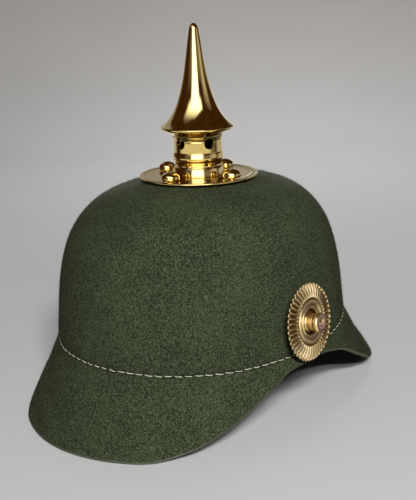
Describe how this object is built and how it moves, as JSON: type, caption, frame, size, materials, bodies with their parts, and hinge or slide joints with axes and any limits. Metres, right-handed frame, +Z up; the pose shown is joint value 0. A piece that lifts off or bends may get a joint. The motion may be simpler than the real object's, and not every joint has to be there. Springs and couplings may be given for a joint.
{
  "type": "pickelhaube",
  "caption": "Spiked felt helmet with a moulded front and back brim, a vented brass spike on a round base plate, and fluted side rosettes on capped posts.",
  "frame": {"origin": "on the surface that the helmet stands on, below the middle of its length and width", "axes": "+Z up, -Y towards the front brim, -X towards the wearer's right"},
  "size_m": [0.2098, 0.2836, 0.2462],
  "materials": {
    "felt": "dense wool felt, dark green melange",
    "polished_brass": "polished",
    "rosette_gilt": "satin gilt with darker hollows",
    "post_brass": "polished, pinkish cap face"
  },
  "bodies": {
    "root": {"felt_shell": "felt", "base_plate": "polished_brass", "spike_neck": "polished_brass", "spike": "polished_brass", "stud_rear": "polished_brass", "stud_right": "polished_brass", "stud_front": "polished_brass", "stud_left": "polished_brass", "rosette_right": "rosette_gilt", "rosette_left": "rosette_gilt", "rosette_post_right": "post_brass", "rosette_post_left": "post_brass"}
  },
  "joints": []
}
